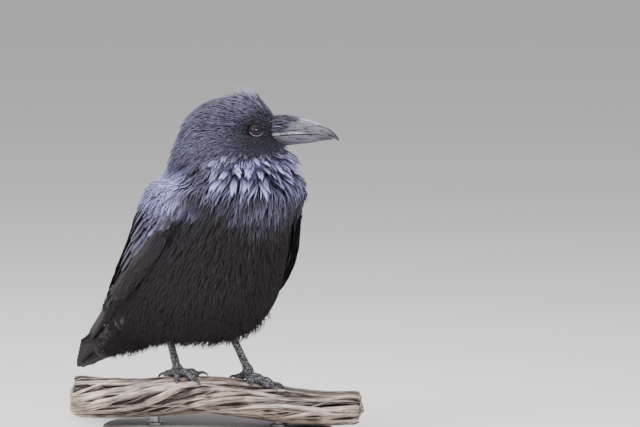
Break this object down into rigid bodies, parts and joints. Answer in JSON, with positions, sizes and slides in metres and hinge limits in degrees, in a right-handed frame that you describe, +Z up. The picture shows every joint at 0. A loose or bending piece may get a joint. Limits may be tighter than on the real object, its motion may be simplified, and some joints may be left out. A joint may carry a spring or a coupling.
{
  "type": "raven",
  "caption": "Life-size standing raven, fluffed and hunched, head turned to its left, gripping a short cut length of driftwood on a plain round display stand.",
  "frame": {"origin": "centre of the stand base's underside", "axes": "+X the way the trunk faces, +Y the bird's left, +Z up"},
  "size_m": [0.3619, 0.2816, 0.3491],
  "materials": {
    "plumage": "black feathers with a blue to violet sheen, matte on the belly",
    "flight": "stiff black feathers, faint gloss, brownish worn edges",
    "bill": "dark grey horn, satin, finely scratched",
    "eye": "wet dark brown",
    "leg": "blue-black horny scutes",
    "claw": "blue-black horn, satin",
    "driftwood": "bare weathered grey-brown wood, fibrous and twisted",
    "stand": "warm light grey paint, satin",
    "rod": "brushed"
  },
  "bodies": {
    "root": {"head": "plumage", "neck": "plumage", "trunk": "plumage", "wing_left": "flight", "wing_right": "flight", "primaries_left": "flight", "primaries_right": "flight", "tail": "flight", "bill_upper": "bill", "bill_lower": "bill", "eye_left": "eye", "eye_right": "eye", "leg_left": "leg", "leg_right": "leg", "claw_left_hallux": "claw", "claw_left_inner": "claw", "claw_left_middle": "claw", "claw_left_outer": "claw", "claw_right_hallux": "claw", "claw_right_inner": "claw", "claw_right_middle": "claw", "claw_right_outer": "claw", "perch": "driftwood", "stand_base": "stand", "stand_rod_1": "rod", "stand_rod_2": "rod"}
  },
  "joints": []
}
